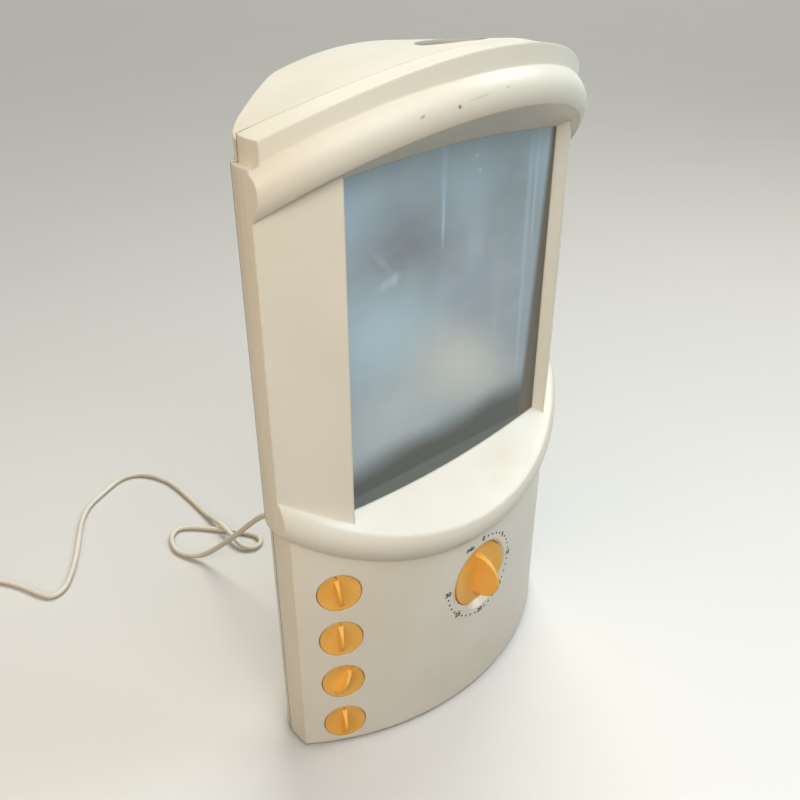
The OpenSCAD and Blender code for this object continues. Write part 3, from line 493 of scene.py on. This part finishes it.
STEPS_BETWEEN = 5
TUBE_SIDES = 12


def coil_route():
    """Points of the coil: each turn keeps its radius and height, then eases over to the next."""
    points = []
    for turn, (radius, height) in enumerate(turn_places):
        after = turn_places[min(turn + 1, len(turn_places) - 1)]
        for step in range(TURN_STEPS):
            share = max(0.0, (step / TURN_STEPS - EASE_FROM) / (1 - EASE_FROM))
            ease = share * share * (3 - 2 * share)
            wide = radius + (after[0] - radius) * ease
            high = height + (after[1] - height) * ease
            angle = coil_start + 2 * math.pi * step / TURN_STEPS
            across = coil_middle[0] + wide * math.cos(angle)
            back = coil_middle[1] + wide * math.sin(angle)
            points.append((across, back, high))
    return points


def smooth_line(points, steps):
    """A smooth line through points, as a list of vectors."""
    knots = [Vector(p) * MM for p in points]
    line = []
    for i in range(len(knots) - 1):
        a = knots[max(i - 1, 0)]
        b = knots[i]
        c = knots[i + 1]
        d = knots[min(i + 2, len(knots) - 1)]
        for step in range(steps):
            t = step / steps
            line.append(b + (c - a) * (t / 2) + (2 * a - 5 * b + 4 * c - d) * (t * t / 2)
                        + (3 * b - a - 3 * c + d) * (t * t * t / 2))
    return line + [knots[-1]]


cord_line = smooth_line(free_route + coil_route() + plug_route, STEPS_BETWEEN)

# %% Sweep the cord
def sweep_tube(name, line, wide, sides):
    """A closed tube along a line, turned from ring to ring by the smallest rotation."""
    points = []
    faces = []
    heading = (line[1] - line[0]).normalized()
    side = heading.orthogonal().normalized()
    for i, place in enumerate(line):
        ahead = (line[min(i + 1, len(line) - 1)] - line[max(i - 1, 0)]).normalized()
        side = (heading.rotation_difference(ahead) @ side).normalized()
        heading = ahead
        other = heading.cross(side)
        for k in range(sides):
            angle = 2 * math.pi * k / sides
            points.append(place + (side * math.cos(angle) + other * math.sin(angle)) * (wide / 2))
        if i:
            low = (i - 1) * sides
            for k in range(sides):
                after = (k + 1) % sides
                faces.append((low + k, low + after, low + sides + after, low + sides + k))
    faces.append(tuple(reversed(range(sides))))
    faces.append(tuple(range((len(line) - 1) * sides, len(line) * sides)))
    mesh = bpy.data.meshes.new(name)
    mesh.from_pydata(points, [], faces)
    mesh.shade_smooth()
    piece = bpy.data.objects.new(name, mesh)
    bpy.context.scene.collection.objects.link(piece)
    return piece


flex = sweep_tube("flex", cord_line, CORD_WIDE, TUBE_SIDES)
flex.data.materials.append(finishes["cord_pvc"])
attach(flex, "housing")
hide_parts("supply_cord", "cord_coil", "plug_lead")
print("flex faces", len(flex.data.polygons))

# %% [markdown]
# ## Printed time scale
# Around the knob stands a ring of small black print: a number every five minutes, a dot for each
# minute between them, and the unit. The numbers stay upright. A picture in the housing's finish could
# show the same, but glyphs with a hair of thickness stay sharp from close by. Text objects give them.
# They become plain meshes and are then wrapped round the bow, so that the print hugs the curved face.

# %% Print helpers
RING_RADIUS = 32 * MM
MINUTE_TURN = 9
PRINT_PROUD = 0.08 * MM
FIGURE_SHARE = 0.7
PRINT_BOLD = 0.2 * MM
NUMBER_TALL = 3.6 * MM
UNIT_TALL = 3.5 * MM
UNIT_LEFT, UNIT_UP = 13 * MM, 30 * MM
LAST_MINUTE = 30
NUMBER_EVERY = 5
DOT_RADIUS = 0.8 * MM
DOT_SIDES = 14
ink = grained_finish("scale_ink", linear(30, 28, 26), linear(44, 41, 38), 2 * MM, 0.55, 0.3 * MM, 0.01 * MM)


def flat_to_bow(mesh):
    """Wrap a mesh that lies in the XY plane, thick along Z, round the bowed front."""
    for vertex in mesh.vertices:
        vertex.co = on_bow(vertex.co.x, vertex.co.y, vertex.co.z)


def glyph_mesh(word, tall, place):
    """The mesh of a word, centred on a place of the flat layout."""
    curve = bpy.data.curves.new("word", "FONT")
    curve.body = word
    curve.size = tall / FIGURE_SHARE
    curve.align_x = "CENTER"
    curve.align_y = "CENTER"
    curve.extrude = PRINT_PROUD
    curve.offset = PRINT_BOLD
    curve.resolution_u = 4
    holder = bpy.data.objects.new("word", curve)
    bpy.context.scene.collection.objects.link(holder)
    seen = holder.evaluated_get(bpy.context.evaluated_depsgraph_get())
    mesh = bpy.data.meshes.new_from_object(seen)
    bpy.data.objects.remove(holder)
    for vertex in mesh.vertices:
        vertex.co.x += place[0]
        vertex.co.y += place[1]
    return mesh


def ring_place(minutes, radius):
    """The place of a minute on the ring around the knob, in the flat layout."""
    angle = math.radians(MINUTE_TURN * minutes)
    return (timer_at.x + radius * math.sin(angle), timer_at.z + radius * math.cos(angle))


def join_meshes(name, meshes, finish):
    """One piece from several meshes, on the bow."""
    points = []
    faces = []
    for mesh in meshes:
        base = len(points)
        points += [v.co.copy() for v in mesh.vertices]
        faces += [tuple(base + i for i in p.vertices) for p in mesh.polygons]
    joined = bpy.data.meshes.new(name)
    joined.from_pydata(points, [], faces)
    flat_to_bow(joined)
    joined.materials.append(finish)
    piece = bpy.data.objects.new(name, joined)
    bpy.context.scene.collection.objects.link(piece)
    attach(piece, "housing")
    return piece


print("print helpers ready")

# %% Print the numbers and the unit
numbers = []
for minutes in range(0, LAST_MINUTE + 1, NUMBER_EVERY):
    numbers.append(glyph_mesh(str(minutes), NUMBER_TALL, ring_place(minutes, RING_RADIUS)))
numbers.append(glyph_mesh("min", UNIT_TALL, (timer_at.x - UNIT_LEFT, timer_at.z + UNIT_UP)))
scale_numbers = join_meshes("scale_numbers", numbers, ink)
print("printed numbers", len(numbers), "faces", len(scale_numbers.data.polygons))

# %% [markdown]
# ## Minute dots
# The dots repeat by a rule, so a small node tree lays them out: a row of points is bent to an arc by
# each point's index, the dots that would sit under a number are dropped, and a low cylinder is set
# on each of the rest. A loop could do it too, but the tree keeps its sizes as named inputs.

# %% Minute dots by geometry nodes
def dots_tree():
    """A node tree that sets a dot on each minute of an arc, save where a number stands."""
    tree = bpy.data.node_groups.new("minute_dots", "GeometryNodeTree")
    face = tree.interface
    face.new_socket("Geometry", in_out="OUTPUT", socket_type="NodeSocketGeometry")
    for name, kind in (("Minutes", "NodeSocketInt"), ("Ring radius", "NodeSocketFloat"),
                       ("Turn per minute", "NodeSocketFloat"), ("Dot radius", "NodeSocketFloat"),
                       ("Dot height", "NodeSocketFloat"), ("Ink", "NodeSocketMaterial")):
        face.new_socket(name, in_out="INPUT", socket_type=kind)
    add = tree.nodes.new
    link = tree.links.new
    given = add("NodeGroupInput").outputs
    row = add("GeometryNodeMeshLine")
    link(given["Minutes"], row.inputs["Count"])
    index = add("GeometryNodeInputIndex").outputs[0]
    turn = add_math(tree, "MULTIPLY", index, given["Turn per minute"])
    place = add("ShaderNodeCombineXYZ")
    for axis, wave in (("X", "SINE"), ("Y", "COSINE")):
        reach = add_math(tree, "MULTIPLY", add_math(tree, wave, turn), given["Ring radius"])
        link(reach, place.inputs[axis])
    bent = add("GeometryNodeSetPosition")
    link(row.outputs[0], bent.inputs["Geometry"])
    link(place.outputs[0], bent.inputs["Position"])
    past_number = add_math(tree, "MODULO", index, NUMBER_EVERY)
    between = add_math(tree, "GREATER_THAN", past_number, 0.5)
    dot = add("GeometryNodeMeshCylinder")
    dot.inputs["Vertices"].default_value = DOT_SIDES
    link(given["Dot radius"], dot.inputs["Radius"])
    link(given["Dot height"], dot.inputs["Depth"])
    spread = add("GeometryNodeInstanceOnPoints")
    link(bent.outputs[0], spread.inputs["Points"])
    link(between, spread.inputs["Selection"])
    link(dot.outputs["Mesh"], spread.inputs["Instance"])
    real = add("GeometryNodeRealizeInstances")
    link(spread.outputs[0], real.inputs[0])
    inked = add("GeometryNodeSetMaterial")
    link(real.outputs[0], inked.inputs["Geometry"])
    link(given["Ink"], inked.inputs["Material"])
    link(inked.outputs[0], add("NodeGroupOutput").inputs[0])
    return tree


def grown_mesh(tree, values):
    """The mesh that a node tree makes, with its inputs set by name."""
    holder = bpy.data.objects.new("holder", bpy.data.meshes.new("holder"))
    bpy.context.scene.collection.objects.link(holder)
    grow = holder.modifiers.new("grow", "NODES")
    grow.node_group = tree
    for item in tree.interface.items_tree:
        if item.in_out == "INPUT":
            grow[item.identifier] = values[item.name]
    seen = holder.evaluated_get(bpy.context.evaluated_depsgraph_get())
    mesh = bpy.data.meshes.new_from_object(seen)
    bpy.data.objects.remove(holder)
    return mesh


print("dot tree ready")

# %% Grow the dots and wrap them round the bow
dot_sizes = {
    "Minutes": LAST_MINUTE + 1,
    "Ring radius": RING_RADIUS,
    "Turn per minute": math.radians(MINUTE_TURN),
    "Dot radius": DOT_RADIUS,
    "Dot height": 2 * PRINT_PROUD,
    "Ink": ink,
}
dots = grown_mesh(dots_tree(), dot_sizes)
for vertex in dots.vertices:
    vertex.co.x += timer_at.x
    vertex.co.y += timer_at.z
minute_dots = join_meshes("minute_dots", [dots], ink)
print("minute dots faces", len(minute_dots.data.polygons))

# %% [markdown]
# ## Floor and light
# A plain pale floor that runs far beyond the view, and soft light: a broad one from high behind, a cool
# lamp near the viewer, a pale one high at the right with a touch of blue daylight on the head, a warm
# one from the room at the left, and a weak sky. The floor and the sky show pale to the camera and in
# mirrors, but give back only as much light as a dull table would, so they don't wash out the shaded
# sides.

# %% Floor
def pale_when_looked_at(tree, dim, pale):
    """The pale colour for what looks at it or mirrors it, the dim one for the light it gives back."""
    path = tree.nodes.new("ShaderNodeLightPath").outputs
    mirrored = add_math(tree, "MAXIMUM", path["Is Glossy Ray"], path["Is Transmission Ray"])
    looked_at = add_math(tree, "MAXIMUM", path["Is Camera Ray"], mirrored)
    return add_mix(tree, looked_at, dim, pale)


def pale_floor():
    """A plain pale surface with the faintest clouds."""
    material, tree, shader, coords = start_material("pale_floor")
    clouds = add_noise(tree, coords, 0.4, 3.0)
    pale = add_mix(tree, clouds, linear(224, 222, 218), linear(219, 217, 212))
    tree.links.new(pale_when_looked_at(tree, linear(116, 110, 102), pale), shader.inputs["Base Color"])
    shader.inputs["Roughness"].default_value = 0.6
    return material


FLOOR_HALF = 14.0
floor_corners = [(FLOOR_HALF * x, FLOOR_HALF * y, 0) for x, y in ((-1, -1), (1, -1), (1, 1), (-1, 1))]
floor_mesh = bpy.data.meshes.new("floor")
floor_mesh.from_pydata(floor_corners, [], [(0, 1, 2, 3)])
floor_mesh.materials.append(pale_floor())
floor = bpy.data.objects.new("floor", floor_mesh)
bpy.context.scene.collection.objects.link(floor)
print("floor half width", FLOOR_HALF, "m")

# %% Lamps and sky
def area_lamp(name, place, target, size, watts, colour):
    """A round, soft lamp at a place, turned to a target."""
    data = bpy.data.lights.new(name, "AREA")
    data.shape = "DISK"
    data.size = size
    data.energy = watts
    data.color = colour
    lamp = bpy.data.objects.new(name, data)
    lamp.location = place
    lamp.rotation_euler = (Vector(target) - Vector(place)).to_track_quat("-Z", "Y").to_euler()
    bpy.context.scene.collection.objects.link(lamp)


def soft_sun(name, source, watts, spread, colour):
    """A far, wide light: it lights the whole floor evenly from the direction of source."""
    data = bpy.data.lights.new(name, "SUN")
    data.energy = watts
    data.angle = math.radians(spread)
    data.color = colour
    lamp = bpy.data.objects.new(name, data)
    lamp.rotation_euler = (-Vector(source)).to_track_quat("-Z", "Y").to_euler()
    bpy.context.scene.collection.objects.link(lamp)


area_lamps = [
    # name, place, target, size, watts, colour
    ("near", (-0.35, -0.75, 1.1), (0, 0, 0.35), 1.1, 8.9, (0.89, 0.94, 0.98)),
    ("window", (1.1, -0.6, 1.5), (0, 0, 0.3), 1.2, 11.4, (1.0, 0.97, 0.92)),
    ("daylight", (0.55, -0.35, 0.85), (0.08, -0.04, 0.43), 0.4, 1.0, (0.2, 0.62, 1.0)),
    ("room", (-1.2, -0.2, 0.8), (0, 0, 0.25), 1.1, 6.3, (1.0, 0.76, 0.5)),
]
soft_sun("overhead", (0.5, 0.35, 1.0), 1.55, 30, (0.98, 1.0, 0.93))
for lamp in area_lamps:
    area_lamp(*lamp)
SKY_DIM = (0.095, 0.096, 0.1, 1)
sky = bpy.data.worlds.new("sky")
sky.use_nodes = True
backdrop = sky.node_tree.nodes["Background"]
backdrop.inputs["Strength"].default_value = 1.0
sky_colour = pale_when_looked_at(sky.node_tree, SKY_DIM, linear(194, 193, 189))
sky.node_tree.links.new(sky_colour, backdrop.inputs["Color"])
bpy.context.scene.world = sky
bpy.context.scene.view_settings.view_transform = "Standard"
print("lamps", 1 + len(area_lamps))
